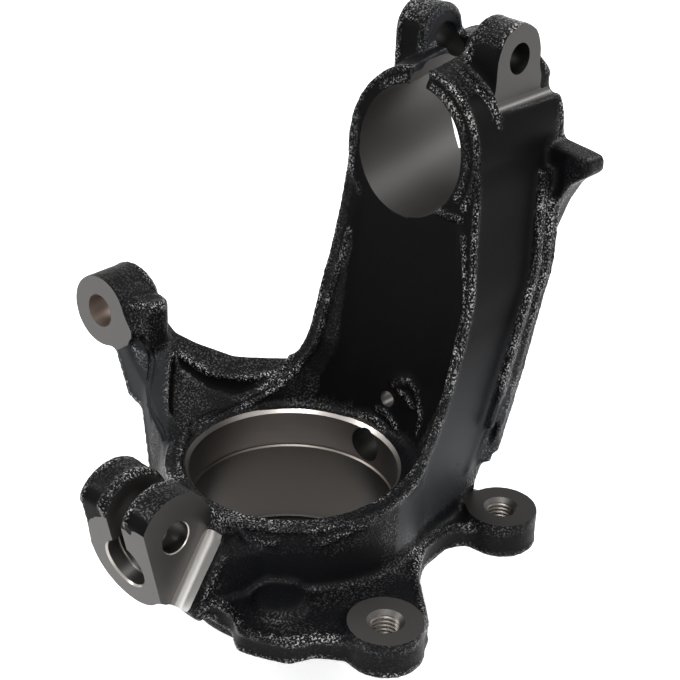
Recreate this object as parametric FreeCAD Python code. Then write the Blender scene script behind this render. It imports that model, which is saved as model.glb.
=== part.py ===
import FreeCAD, Part
import math
import os

# Steering knuckle for a strut front axle: one iron casting with its bores and faces machined.
# Frame: origin at the middle of the bearing seat, Z along the hub axis towards the car's middle,
# Y up the car towards the strut, X along the car towards the brake caliper.

V = FreeCAD.Vector

# Driving sizes in millimetres and degrees.
# Bearing housing: seat for an 82 x 36 wheel bearing, pressed in against a lip.
seat_d = 82.0
bearing_width = 36.0
seat_play = 1.0
entry_depth = 17.5
entry_clearance = 2.0
mouth_chamfer = 1.4
way_in = 30.0
lip_length = 5.5
lip_d = 75.0
lead_in = 1.0
ring_wall = 9.0
ring_belly = 3.2
rim_roll = 2.5
spigot_wall = 3.8
# Strut clamp.
strut_d = 51.0
strut_lean = 8.5
strut_x = 2.0
strut_front_y = 58.7
strut_z = 154.5
strut_length = 58.0
strut_wall = 7.0
strut_wall_shift = 1.2
strut_slot = 8.0
ear_gap = 20.5
ear_thickness = 15.7
ear_round = 14.0
strut_bolt_hole = 12.6
strut_bolt_y = 91.0
strut_bolt_z = 191.5
# Ball joint clamp.
joint_d = 20.0
joint_x = -1.0
joint_z = 30.0
joint_face_y = -88.0
joint_lean = 13.0
joint_wall = 9.0
joint_length = 25.0
joint_slot = 8.0
joint_bolt_hole = 12.6
joint_bolt_y = -78.0
joint_bolt_z = 45.0
joint_ear_round = 17.0
joint_ear_face_x = 16.0
# Steering arm.
eye_x = -105.0
eye_z = 69.6
eye_face_y = -11.3
eye_d = 14.6
eye_round = 16.0
eye_length = 22.0
# Caliper ears.
caliper_hole = 10.2
caliper_thread_d = 12.0
caliper_boss_d = 28.0
caliper_face_z = 17.5
caliper_boss_height = 15.0
upper_ear = (62.4, 58.1)
lower_ear = (78.8, -32.4)
plate_thickness = 10.0
# Tower between the bearing housing and the strut clamp.
web_lean = 0.113
web_thickness = 8.0
# Wheel speed sensor.
sensor_d = 15.0
sensor_x = 2.0
sensor_z = 27.5
sensor_screw_hole = 6.8
sensor_screw = (8.0, 50.0)

# Values that follow from them.
seat_half = (bearing_width + seat_play) / 2
top_z = seat_half + entry_depth
bottom_z = -seat_half - lip_length
seat_r = seat_d / 2
entry_r = seat_r + entry_clearance / 2
ring_r = seat_r + ring_wall
spigot_r = seat_r + spigot_wall
strut_r = strut_d / 2
strut_outer = strut_r + strut_wall
strut_dir = V(0, math.cos(math.radians(strut_lean)), math.sin(math.radians(strut_lean)))
joint_dir = V(0, math.cos(math.radians(joint_lean)), math.sin(math.radians(joint_lean)))
joint_r = joint_d / 2
joint_outer = joint_r + joint_wall


def along(plane, u, v, w):
    """A point from two coordinates in a plane and its distance along the third axis."""
    return {"xy": V(u, v, w), "xz": V(u, w, v), "yz": V(w, u, v)}[plane]


def rounded(points, plane, w):
    """Closed outline through the points; a third number rounds that corner."""
    edges = []
    ends = []
    count = len(points)
    for i in range(count):
        here = points[i]
        corner = V(here[0], here[1], 0)
        radius = here[2] if len(here) > 2 else 0
        before = V(points[i - 1][0], points[i - 1][1], 0)
        after = V(points[(i + 1) % count][0], points[(i + 1) % count][1], 0)
        a = (before - corner).normalize()
        b = (after - corner).normalize()
        angle = math.acos(max(-1, min(1, a.dot(b))))
        if radius <= 0 or angle > math.pi - 0.02:
            ends.append((corner, corner, None))
            continue
        reach = radius / math.tan(angle / 2)
        middle = corner + (a + b).normalize() * (radius / math.sin(angle / 2) - radius)
        ends.append((corner + a * reach, corner + b * reach, middle))
    for i in range(count):
        start, stop, middle = ends[i]
        if middle is not None:
            pts = [along(plane, p.x, p.y, w) for p in (start, middle, stop)]
            edges.append(Part.Arc(*pts).toShape())
        nxt = ends[(i + 1) % count][0]
        if (nxt - stop).Length > 1e-6:
            edges.append(Part.makeLine(along(plane, stop.x, stop.y, w), along(plane, nxt.x, nxt.y, w)))
    return Part.Wire(edges)


def slab(points, plane, w0, w1):
    """Solid between two parallel planes with one rounded outline."""
    face = Part.Face(rounded(points, plane, w0))
    return face.extrude(along(plane, 0, 0, w1 - w0))


def tapered(first, last, plane, w0, w1):
    """Solid that changes from one outline to another across two parallel planes."""
    return Part.makeLoft([rounded(first, plane, w0), rounded(last, plane, w1)], True, True)


def rod(radius, start, direction, length):
    return Part.makeCylinder(radius, length, start, direction)


def softened(shape, radius, wanted):
    """Round the wanted edges; keep the sharp shape where the kernel cannot round them."""
    edges = [e for e in shape.Edges if wanted(e)]
    if not edges:
        return shape
    for r in (radius, radius * 0.6, radius * 0.35):
        try:
            rounded_shape = shape.makeFillet(r, edges)
            if rounded_shape.isValid() and rounded_shape.Volume > 0:
                return rounded_shape
        except Exception:
            continue
    return shape


def bevelled(shape, size, wanted):
    """Cut a small flat bevel along the wanted edges."""
    edges = [e for e in shape.Edges if wanted(e)]
    return shape.makeChamfer(size, edges)


def spun(profile):
    """Solid of revolution about Z from rounded (radius, height) corners."""
    return Part.Face(rounded(profile, "xz", 0)).revolve(V(0, 0, 0), V(0, 0, 1), 360)


# Bearing housing, a thick ring with a belly at the height of the caliper plate and a rolled rim.
housing = spun([
    (0, bottom_z), (spigot_r - 1.5, bottom_z), (spigot_r, bottom_z + 1.5), (spigot_r + 1, -14), (ring_r - 1, -4),
    (ring_r + ring_belly, caliper_face_z - 4, 4), (ring_r + 0.6, top_z - 13, 6),
    (ring_r + rim_roll, top_z - 6, 1.5), (ring_r + rim_roll, top_z - 3, 1.5), (ring_r - 0.5, top_z, 1.5), (0, top_z),
])

# Raised wall that runs round the housing and climbs into the two flanges of the tower.
wall_left = [(-10, 36), (6, 36.6), (19, 39), (27, 43), (32, 49), (36, 58), (39, 68), (43.5, 84),
             (48, 98), (53.5, 118), (58, 139), (61, 165), (63, 200)]
wall_right = [(-10, 43), (8, 45), (17, 48), (24, 53), (30.5, 61), (37, 73), (43, 88), (48.5, 107),
              (54, 128), (58.5, 150), (61, 170), (62.5, 185), (63.5, 205)]
clamp_start = V(strut_x, strut_front_y, strut_z)
barrel_back = clamp_start + strut_dir * strut_length


def rear_y(z):
    """Where the square rear end of the strut clamp stands at a height."""
    return barrel_back.y - (z - barrel_back.z) * math.tan(math.radians(strut_lean))


back_edge = [(rear_y(205), 205), (rear_y(156), 156), (104, 112), (82, 60), (58, 18), (52, -2)]
front_foot = [(-58, -2), (-58, 40)]


def side_outline(front, x):
    spline = Part.BSplineCurve()
    spline.interpolate([V(x, y, z) for y, z in front])
    edges = [Part.makeLine(V(x, *front_foot[1]), V(x, *front[0])), spline.toShape()]
    chain = [front[-1]] + back_edge + [front_foot[0], front_foot[1]]
    for a, b in zip(chain[:-1], chain[1:]):
        edges.append(Part.makeLine(V(x, *a), V(x, *b)))
    return Part.Wire(edges)


side_form = Part.makeLoft([side_outline(wall_left, -52), side_outline(wall_right, 58)], True, True)

tower_front = [(-51, -2), (-51, 36, 22), (-31, 66, 30), (-30.5, 110, 60), (-30.5, 150, 10), (-24, 176, 8), (28, 176, 8),
               (35.5, 160, 20), (42, 132, 40), (49.5, 106, 40), (51, 60, 30), (53.5, 36, 20), (53.5, -2)]
tower_back = [(-34, -2), (-34, 36, 22), (-28, 66, 30), (-27, 110, 60), (-27, 150, 10), (-22, 174, 8), (26, 174, 8),
              (34, 160, 20), (38, 132, 40), (42, 106, 40), (42, 60, 30), (40, 36, 20), (40, -2)]
tower = tapered(tower_front, tower_back, "xz", 0, 120)
wall_ring = Part.makeCylinder(ring_r + 3, 60, V(2.5, 0, -2))
shell = wall_ring.fuse(tower).common(side_form)

barrel = rod(strut_outer, clamp_start + V(strut_wall_shift, 0, 0) - strut_dir * 6, strut_dir, strut_length + 6)
front_cut_y = strut_front_y - web_lean * strut_z
barrel = barrel.cut(slab([(-40, 0), (front_cut_y, 0), (front_cut_y + web_lean * 260, 260), (-40, 260)], "yz", -80, 80))
barrel = bevelled(barrel, 2.0, lambda e: e.BoundBox.YMin > 100 and e.Length > 60)

# Channel in front of the web, and the deep pocket behind it.
def web_y(z):
    """Where the front of the web stands at a height."""
    return front_cut_y + web_lean * z


def room_section(z, left, right, corner):
    """Outline of the room above the bearing, closed by the web behind."""
    front = 46.5
    return rounded([(left, -front, front - 1), (right, -front, front - 1), (right, web_y(z), corner),
                    (left, web_y(z), corner)], "xy", z)


room = Part.makeLoft([room_section(top_z, -46.5, 49.5, 44), room_section(50, -36.5, 47, 30),
                      room_section(66, -25.5, 44.5, 16), room_section(104, -24, 43.5, 9),
                      room_section(135, -24, 35.5, 6)], True, True)
rear_room = tapered(
    [(-22, 34, 6), (-22, 112, 14), (34, 112, 14), (41, 90, 10), (41, 34, 6)],
    [(-20, -20, 6), (-19, 116, 16), (31, 116, 16), (34, 100, 10), (34, -20, 6)], "xz", 50, 122)
rear_limit = [(web_y(0) + web_thickness, 0), (web_y(120) + web_thickness, 120), (130, 120), (130, -20), (62, -20)]
rear_room = rear_room.common(slab(rear_limit, "yz", -60, 60))

# Two ribs along the rear edge of the outer wall, higher towards the foot.
rib_line = [(112, 146), (103.5, 112), (81, 60), (66, 30)]
rib_height = 3.2
rib_growth = 0.03


def with_ribs(outline):
    """The tower's outline with its outer side moved out by the height of the ribs."""
    crest = []
    for x, z, *corner in outline:
        if x > 30:
            x = x + rib_height + rib_growth * max(0, 106 - z)
        crest.append((x, z, *corner))
    return crest


wide_tower = tapered(with_ribs(tower_front), with_ribs(tower_back), "xz", 0, 120)


def rib(shift, width):
    near = [(y - shift, z) for y, z in rib_line]
    far = [(y - shift - width, z) for y, z in reversed(rib_line)]
    return slab(near + far, "yz", 33, 60).common(wide_tower)


ribs = [rib(0.0, 5.0), rib(10.0, 4.0)]

# Ears of the strut clamp.
ear_in = ear_gap / 2
ear_out = ear_in + ear_thickness
ear_front_y = strut_bolt_y - ear_round
ears = []
for side, rear, corner in ((-1, 10.5, 12.0), (1, ear_round, ear_round - 0.1)):
    ear_shape = [(ear_front_y, 172), (ear_front_y, strut_bolt_z + ear_round, corner),
                 (strut_bolt_y + rear, strut_bolt_z + ear_round, corner), (strut_bolt_y + rear, 172)]
    x0 = strut_x + side * ear_in
    x1 = strut_x + side * (ear_out + (2.5 if side > 0 else 0))
    ear = slab(ear_shape, "yz", min(x0, x1), max(x0, x1))
    ears.append(bevelled(ear, 1.6, lambda e: abs(e.BoundBox.XLength) < 0.01 and e.BoundBox.ZMax > 180))

# Ball joint clamp: a barrel under two ears and a neck to the housing.
joint_start = V(joint_x, joint_face_y, joint_z)
joint_barrel = rod(joint_outer, joint_start, joint_dir, joint_length)
left_ear = rod(joint_ear_round, V(-20, joint_bolt_y - 0.5, joint_bolt_z + 1), V(1, 0, 0), 14)
right_ear = rod(joint_ear_round, V(3, joint_bolt_y, joint_bolt_z + 1), V(1, 0, 0), joint_ear_face_x + 4 - 3)
left_ear = bevelled(left_ear, 1.5, lambda e: e.BoundBox.XLength < 0.01)
right_ear = bevelled(right_ear, 2.0, lambda e: e.BoundBox.XLength < 0.01)
left_cheek = slab([(-92, 30), (-92, 46), (-61, 46), (-50, 30)], "yz", -20, -5)
right_cheek = slab([(-94, 24), (-94, 50), (-61, 50), (-48, 28), (-58, 10), (-72, 8), (-84, 20)], "yz", 3, 22.5)
neck = tapered([(-19, 15), (-19, 38, 4), (22, 38, 4), (22, 11)],
               [(-34, -12), (-34, 33, 4), (32, 33, 4), (32, -12)], "xz", -73, -40)

# Caliper ears and the plate that carries them.
boss_r = caliper_boss_d / 2
plate_top = caliper_face_z - 3.5
plate_bottom = plate_top - plate_thickness
plate = slab([(8, -64, 6), (19, -65, 8), (32, -65, 5), (41, -71, 5), (50, -68, 10), (60, -63, 5), (64, -54, 8),
              (76, -45, 4), (92, -36, 12), (88, -18, 8), (66, 2, 16), (55, 18, 30), (53, 40, 16), (74, 50, 10),
              (66, 73, 12), (30, 62, 10), (0, 40), (-20, -40)], "xy", plate_bottom, plate_top)
plate = bevelled(plate, 1.4, lambda e: abs(e.BoundBox.ZMax - plate_top) < 0.01 and e.BoundBox.ZLength < 0.01)
bosses = []
for x, y in (upper_ear, lower_ear):
    boss = Part.makeCylinder(boss_r + 0.8, caliper_boss_height, V(x, y, caliper_face_z - caliper_boss_height))
    bosses.append(bevelled(boss, 1.0, lambda e: e.BoundBox.ZMax < caliper_face_z - 1))
pad = Part.makeCone(11.5, 9.3, 6.5, V(41.3, -49.5, plate_top - 3))
pad = bevelled(pad, 0.8, lambda e: e.BoundBox.ZMin > plate_top)

# Steering arm: eye, two rails, floor and stop post.
eye_centre = V(eye_x, eye_face_y, eye_z)
eye = rod(eye_round, eye_centre, V(0, 1, 0), eye_length)
eye = bevelled(eye, 2.5, lambda e: e.BoundBox.YMin > eye_face_y + 1)
arm_sections = [
    (-98, [(-10, 57), (9, 57), (9, 78, 4), (-9, 72, 4)]),
    (-83, [(-15, 39), (13, 44), (13.5, 61, 4), (-12.5, 57, 4)]),
    (-73, [(-16.5, 37.5), (18, 37), (17, 58.5, 4), (-15, 51, 4)]),
    (-60, [(-25, 23), (27, 27), (26.5, 53.5, 4), (-21, 43.5, 4)]),
    (-48, [(-33, 10), (42, 20), (42, 51.5, 4), (-27, 38, 4)]),
    (-36, [(-42, 4), (52, 14), (52, 52, 4), (-38, 34, 4)]),
]
arm_wires = [rounded(outline, "yz", x) for x, outline in arm_sections]
arm = Part.makeLoft(arm_wires, True, True)
arm = arm.cut(Part.makeCylinder(ring_r - 3, 80, V(0, 0, top_z)))

# Deep pocket between the two rails of the arm. Its floor falls towards the ring.
arm_pocket = tapered(
    [(-67, 2.5, 2), (-58.5, -9, 4), (-54, -15, 5), (-38, -15, 2), (-38, 28, 2), (-42.5, 28, 3), (-48.5, 17, 8), (-57.5, 8, 10)],
    [(-79, 4, 2), (-68, -12.5, 8), (-60, -20, 6), (-38, -20, 2), (-36, 36, 2), (-41, 36, 3), (-49, 21.5, 8),
     (-60, 10.5, 10)], "xy", 28, 66)


def pocket_floor_z(x, y):
    """Height of the sloping floor of the arm's pocket."""
    return 47.5 - 0.62 * (x + 70) + 0.30 * y


floor_corners = [V(x, y, pocket_floor_z(x, y)) for x, y in ((-100, -60), (-100, 60), (-30, 60), (-30, -60), (-100, -60))]
above_floor = Part.Face(Part.makePolygon(floor_corners)).extrude(V(0, 0, 90))
arm_pocket = arm_pocket.common(above_floor).cut(housing).cut(shell)
post = slab([(-92, -7, 4), (-79, -8, 4), (-78.5, 6, 4), (-91, 7, 4)], "xy", 58, 79)
post = bevelled(post, 2.0, lambda e: e.BoundBox.ZMin > 78)

# Hose bracket lug on the rear end of the clamp.
lug = slab([(28, 156.5, 2), (55.5, 153.5, 3), (56, 147, 2), (48, 141, 6), (42, 130, 14), (36, 112), (28, 112)],
           "xz", 104, 117)
lug = softened(lug, 1.5, lambda e: e.BoundBox.YLength < 0.01 and e.BoundBox.XMax > 45)

# Sensor boss behind the web.
sensor_boss = rod(sensor_d / 2 + 5, V(sensor_x, ring_r - 6, sensor_z), V(0, 1, 0), 20)

body = housing
for piece in [shell, barrel, ears[0], ears[1], joint_barrel, left_ear, right_ear, left_cheek, right_cheek,
              neck, plate, bosses[0], bosses[1], pad, eye, arm, post, lug] + ribs:
    body = body.fuse(piece)

for hollow in (room, rear_room, arm_pocket):
    body = body.cut(hollow)
body = body.fuse(sensor_boss)

# Machining. Bearing seat, lip, lead-in and entry.
tool = spun([(0, bottom_z - 20), (lip_d / 2, bottom_z - 20), (lip_d / 2, -seat_half), (seat_r, -seat_half),
             (seat_r, seat_half), (entry_r, seat_half + lead_in), (entry_r, top_z - mouth_chamfer),
             (entry_r + mouth_chamfer, top_z), (entry_r + mouth_chamfer, top_z + way_in), (0, top_z + way_in)])
body = body.cut(tool)

# Strut bore with its slot, pinch bolt hole and milled bolt seat.
body = body.cut(rod(strut_r, clamp_start - strut_dir * 30, strut_dir, strut_length + 60))
body = body.cut(Part.makeBox(strut_slot, 90, 80, V(strut_x - strut_slot / 2, 40, strut_z)))
body = body.cut(Part.makeCylinder(strut_bolt_hole / 2, 120, V(-60, strut_bolt_y, strut_bolt_z), V(1, 0, 0)))
body = body.cut(Part.makeBox(30, 44, 60, V(strut_x + ear_out, ear_front_y - 0.5, 173.5)))

# Ball joint bore, slot, pinch bolt hole, milled bolt seat and lower face.
body = body.cut(rod(joint_r, joint_start - joint_dir * 20, joint_dir, joint_length + 24))
body = body.cut(Part.makeCone(joint_r + 4, joint_r - 1, 5, joint_start - joint_dir * 3.0, joint_dir))
slot_box = Part.makeBox(joint_slot, 60, 60, V(joint_x - joint_slot / 2, joint_face_y - 20, joint_z))
slot_box = slot_box.cut(Part.makeBox(60, 60, 200, V(-30, joint_face_y + joint_length + 8, -60)))
body = body.cut(slot_box)
body = body.cut(Part.makeCylinder(joint_bolt_hole / 2, 80, V(-50, joint_bolt_y, joint_bolt_z), V(1, 0, 0)))
seat_cut = slab([(joint_bolt_y - 30, 0), (joint_bolt_y - 30, 80), (joint_bolt_y + 16, 80), (joint_bolt_y + 17, 36, 14),
                 (joint_bolt_y - 2, 0)], "yz", joint_ear_face_x, 60)
body = body.cut(seat_cut)
lower_face = rod(90, joint_start - joint_dir * 60, joint_dir, 60)
body = body.cut(lower_face.common(Part.makeBox(120, 120, 120, V(-60, -190, 2))))

# Tie rod eye, caliper threads, sensor bore and its screw hole.
body = body.cut(rod(eye_d / 2, eye_centre - V(0, 5, 0), V(0, 1, 0), eye_length + 10))
body = body.cut(rod(eye_round + 0.6, eye_centre - V(0, 20, 0), V(0, 1, 0), 20))
for x, y in (upper_ear, lower_ear):
    body = body.cut(Part.makeCylinder(caliper_hole / 2, 60, V(x, y, -20)))
    body = body.cut(Part.makeCylinder(boss_r + 0.8, 30, V(x, y, caliper_face_z)))
    body = body.cut(Part.makeCone(caliper_hole / 2, caliper_hole / 2 + 2.4, 2.4, V(x, y, caliper_face_z - 2.0)))
body = body.cut(rod(sensor_d / 2, V(sensor_x, 30, sensor_z), V(0, 1, 0), 60))
body = body.cut(rod(sensor_screw_hole / 2, V(sensor_screw[0], 30, sensor_screw[1]), V(0, 1, 0), 60))

body = max(body.Solids, key=lambda s: s.Volume)

os.makedirs("parts", exist_ok=True)
body.exportStep("parts/knuckle_casting.step")
print("solids", len(body.Solids), "valid", body.isValid(), "volume", round(body.Volume / 1000), "cm3", body.BoundBox)
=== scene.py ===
import math

import bmesh
import bpy
from mathutils import Matrix, Vector, kdtree, noise


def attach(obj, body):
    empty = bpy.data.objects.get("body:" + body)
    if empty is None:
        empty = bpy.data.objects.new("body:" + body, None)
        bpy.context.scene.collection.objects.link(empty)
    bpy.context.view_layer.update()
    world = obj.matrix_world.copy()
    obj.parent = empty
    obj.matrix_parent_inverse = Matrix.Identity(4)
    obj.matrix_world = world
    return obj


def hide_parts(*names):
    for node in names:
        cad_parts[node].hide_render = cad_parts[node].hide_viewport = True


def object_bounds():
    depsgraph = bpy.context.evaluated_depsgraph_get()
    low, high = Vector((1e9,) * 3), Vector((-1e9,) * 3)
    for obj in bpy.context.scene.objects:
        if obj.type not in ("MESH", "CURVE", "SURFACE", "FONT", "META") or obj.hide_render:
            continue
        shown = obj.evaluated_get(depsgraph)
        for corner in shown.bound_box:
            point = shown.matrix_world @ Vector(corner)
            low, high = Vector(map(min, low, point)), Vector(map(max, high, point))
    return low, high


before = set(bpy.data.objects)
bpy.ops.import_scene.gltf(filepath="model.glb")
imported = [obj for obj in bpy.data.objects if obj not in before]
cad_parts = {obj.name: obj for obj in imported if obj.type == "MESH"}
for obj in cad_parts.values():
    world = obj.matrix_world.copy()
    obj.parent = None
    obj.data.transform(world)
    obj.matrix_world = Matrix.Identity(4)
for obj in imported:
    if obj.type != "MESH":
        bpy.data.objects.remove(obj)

cad_low, cad_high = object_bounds()

# Rough casting. The knuckle as it leaves the mould: one piece of nodular iron with its bores
# still closed and a little stock on every face that will be milled. Its corners run into each
# other in soft cast blends. Sizes are in millimetres, in the frame of the solid.
MM = 0.001
GRAIN_CELL = 0.85 * MM
STRUT_LEAN = math.radians(8.5)
STRUT_AXIS = Vector((0, math.cos(STRUT_LEAN), math.sin(STRUT_LEAN)))
STRUT_MOUTH = Vector((2.0, 58.7, 154.5))
JOINT_LEAN = math.radians(13)
JOINT_AXIS = Vector((0, math.cos(JOINT_LEAN), math.sin(JOINT_LEAN)))
JOINT_MOUTH = Vector((-1.0, -88.0, 30.0))
WEB_NORMAL = Vector((0, 1, -0.113)).normalized()
EYE = Vector((-105.0, -11.3, 69.6))
CALIPER_HOLES = ((62.4, 58.1), (78.8, -32.4))
STRUT_BOLT = (91, 191.5)
JOINT_BOLT = (-78, 45)
PLUG_RADIUS = 7.5
SENSOR_X = 2
SENSOR_Z = 27.5
SCREW_X = 8
SCREW_Z = 50
EAR_FACE = 27.95
JOINT_FACE = 16.0


def turned_to(axis):
    """Rotation that lays the Z axis of a tool along an axis of the knuckle."""
    return Vector(axis).to_track_quat("Z", "Y").to_matrix().to_4x4()


def add_rod(mesh, start, end, radius, end_radius=None, sides=96):
    """Closed round bar between two points in millimetres."""
    start = Vector(start)
    end = Vector(end)
    axis = end - start
    place = Matrix.Translation((start + end) / 2 * MM) @ turned_to(axis)
    made = bmesh.ops.create_cone(
        mesh, cap_ends=True, segments=sides, radius1=radius * MM,
        radius2=(radius if end_radius is None else end_radius) * MM,
        depth=axis.length * MM, matrix=place)
    return made["verts"]


def add_cross_rod(mesh, bolt, first, last, radius, sides=96):
    """Closed round bar along X on the line of a clamp's pinch bolt."""
    y, z = bolt
    return add_rod(mesh, (first, y, z), (last, y, z), radius, sides=sides)


def add_slab(mesh, outline, at, thick, spread=(0, 1)):
    """Closed plate: a 2-D outline on the two axes in spread, pushed along the third one."""
    third = ({0, 1, 2} - set(spread)).pop()
    rings = []
    for level in (at, at + thick):
        ring = []
        for u, v in outline:
            point = [0.0, 0.0, 0.0]
            point[spread[0]] = u
            point[spread[1]] = v
            point[third] = level
            ring.append(mesh.verts.new(Vector(point) * MM))
        rings.append(ring)
    count = len(outline)
    faces = [mesh.faces.new(rings[0]), mesh.faces.new(rings[1])]
    for i in range(count):
        faces.append(mesh.faces.new((rings[0][i], rings[0][(i + 1) % count],
                                     rings[1][(i + 1) % count], rings[1][i])))
    bmesh.ops.recalc_face_normals(mesh, faces=faces)
    return rings[0] + rings[1]


def add_bead(mesh, path, radius, sides=14):
    """Round bead of iron that follows a path in millimetres."""
    points = [Vector(p) for p in path]
    rings = []
    side = None
    for i, here in enumerate(points):
        ahead = points[min(i + 1, len(points) - 1)] - points[max(i - 1, 0)]
        ahead.normalize()
        if side is None:
            side = ahead.orthogonal().normalized()
        side = (side - ahead * side.dot(ahead)).normalized()
        other = ahead.cross(side)
        rings.append([mesh.verts.new((here + (side * math.cos(a) + other * math.sin(a)) * radius) * MM)
                      for a in (2 * math.pi * k / sides for k in range(sides))])
    faces = [mesh.faces.new(rings[0]), mesh.faces.new(rings[-1])]
    for a, b in zip(rings[:-1], rings[1:]):
        for k in range(sides):
            faces.append(mesh.faces.new((a[k], a[(k + 1) % sides], b[(k + 1) % sides], b[k])))
    bmesh.ops.recalc_face_normals(mesh, faces=faces)


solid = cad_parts["knuckle_casting"]
pour = bmesh.new()
pour.from_mesh(solid.data)
bmesh.ops.remove_doubles(pour, verts=pour.verts, dist=0.005 * MM)

# The sand mould leaves a thin raised line along the outer corners of the casting. It runs along
# every outer edge sharper than RIM_ANGLE that no cutter will touch.
RIM_ANGLE = math.radians(38)
RIM_RADIUS = 1.15
RIM_REACH = 1.9
RIM_INSET = 0.55


def will_be_cut(face):
    """True for a face that lies on one of the machined surfaces."""
    at = face.calc_center_median() / MM
    way = face.normal
    if math.hypot(at.x, at.y) < 44 and -24.5 < at.z < 37 and abs(way.z) < 0.9:
        return True
    if at.z < -10 or (abs(way.z) > 0.99 and abs(at.z - 36) < 0.1 and math.hypot(at.x, at.y) < 44.5):
        return True
    along = (at - STRUT_MOUTH).dot(STRUT_AXIS)
    if (at - STRUT_MOUTH - STRUT_AXIS * along).length < 26.2 and along > -30:
        return True
    if abs(at.x - 2) < 4.3 and at.z > 158:
        return True
    if abs(way.x) > 0.99 and (abs(at.x - EAR_FACE) < 0.1 or abs(at.x - JOINT_FACE) < 0.1):
        return True
    if abs(way.z) > 0.99 and abs(at.z - 173.5) < 0.2:
        return True
    if abs((at - JOINT_MOUTH).dot(JOINT_AXIS)) < 0.3 or abs(at.x + 1) < 4.3 and at.y < -55:
        return True
    if (at - EYE).length < 18 and abs(at.y - EYE.y) < 0.3:
        return True
    for x, y in CALIPER_HOLES:
        if math.hypot(at.x - x, at.y - y) < 15.2 and (at.z > 17.3 or math.hypot(at.x - x, at.y - y) < 9):
            return True
    for y, z in (STRUT_BOLT, JOINT_BOLT):
        if math.hypot(at.y - y, at.z - z) < PLUG_RADIUS:
            return True
    return math.hypot(at.x - SENSOR_X, at.z - SENSOR_Z) < 8.5 and at.y > 38


rim_edges = []
for edge in pour.edges:
    if len(edge.link_faces) != 2 or edge.calc_length() < 0.6 * MM:
        continue
    if edge.calc_face_angle_signed(0) < RIM_ANGLE:
        continue
    if will_be_cut(edge.link_faces[0]) or will_be_cut(edge.link_faces[1]):
        continue
    inward = -(edge.link_faces[0].normal + edge.link_faces[1].normal).normalized()
    ends = [v.co / MM + inward * RIM_INSET for v in edge.verts]
    rim_edges.append(ends)
for first, last in rim_edges:
    reach = (last - first).normalized() * 0.25
    add_rod(pour, first - reach, last + reach, RIM_RADIUS, sides=10)

# Ridges of the mould that lie on the faces: round the mouths of the strut clamp and the bearing
# ring, along the flange and the plate, and the knob with its drops of iron at the foot of the web.
across_clamp = Vector((1, 0, 0))
up_clamp = Vector((0, 0.113, 1)).normalized()
clamp_face = STRUT_MOUTH + Vector((0, 0.35, 0))


def round_clamp(radius, first, last, steps=18, shift=0.4):
    """Points on the front face of the strut clamp at one radius from the bore, in degrees."""
    points = []
    for k in range(steps + 1):
        a = math.radians(first + (last - first) * k / steps)
        beside = across_clamp * (radius * math.cos(a) + shift)
        points.append(clamp_face + beside + up_clamp * radius * math.sin(a))
    return points


def round_ring(radius, height, first, last, step=6):
    """Points round the bearing ring at one radius and height, in degrees."""
    return [(radius * math.cos(math.radians(a)), radius * math.sin(math.radians(a)), height)
            for a in range(first, last + 1, step)]


mould_ridges = (
    # The mouth of the strut clamp, to the right and to the left of its slot.
    (round_clamp(28.2, -24, 76), 0.9),
    (round_clamp(28.3, 104, 128), 0.9),
    # The inner border of the right flange, where it leaves the clamp.
    ([(32.6, 60.3, 148), (34.0, 59.4, 140), (33.9, 58.4, 128), (32.8, 57.2, 118), (31.5, 55.9, 106)], 0.9),
    # The seam between the bearing ring and the caliper plate.
    ([(25.6, -72.2, 14.4), (21.7, -58.7, 14.4), (25.5, -47.5, 14.4), (34.9, -39.3, 14.4),
      (42.5, -33.0, 14.4), (48.6, -22.4, 14.4), (52.6, -10.3, 14.4), (54.6, 4, 14.4),
      (55.6, 16.4, 14.4)], 1.0),
    # The top of the bearing ring, two lines beside its mouth and three at its outer corner.
    (round_ring(45.6, 35.7, -112, -52), 1.0),
    (round_ring(46.8, 35.7, -84, -40), 0.9),
    (round_ring(54.1, 34.4, -63, -53, step=5), 1.2),
    ([(44.5, -32.3, 33.8), (47.9, -27.3, 36.3), (49.8, -23.9, 37.3), (51.5, -20.3, 38.8),
      (53.8, -13.3, 39.4)], 1.1),
    ([(43.0, -27.8, 41.2), (45.4, -24.8, 41.4), (47.4, -21.5, 41.6), (49.0, -14.9, 42.0)], 0.9),
    # The foot of the near ear of the strut clamp.
    ([(11.1, 72.6, 188.2), (19.3, 72.1, 184.8), (26.4, 72.9, 179.4), (33.0, 74.6, 169.4)], 0.9),
    # The knob beside the sensor's screw hole, and the drops below it.
    ([(9.8, 47.9, 57.6), (13.4, 48.0, 60.7), (18.3, 48.1, 62.6), (23.0, 47.8, 59.8),
      (25.6, 47.0, 55.5)], 1.9),
    ([(14.0, 48.0, 56.0), (18.5, 47.6, 54.5), (22.0, 47.0, 52.5)], 1.6),
    ([(25.6, 46.8, 54), (28.6, 44.9, 50), (28.4, 43.6, 45.7), (29.6, 42.6, 42)], 1.4),
    ([(3.5, 46.3, 43.6), (8, 46.1, 44), (12, 45.5, 42), (15.5, 44.8, 39.6)], 1.0),
)
for path, radius in mould_ridges:
    add_bead(pour, path, radius)

# Places where the skin is roughest, for the look of the coat: every rim and every ridge.
SPOT_STEP = 0.8
rough_spots = []
for path in rim_edges + [ridge[0] for ridge in mould_ridges]:
    for first, last in zip(path[:-1], path[1:]):
        start = Vector(first)
        end = Vector(last)
        count = max(1, int((end - start).length / SPOT_STEP))
        rough_spots += [start.lerp(end, k / count) for k in range(count + 1)]
roughest = kdtree.KDTree(len(rough_spots))
for index, spot in enumerate(rough_spots):
    roughest.insert(spot, index)
roughest.balance()

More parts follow.
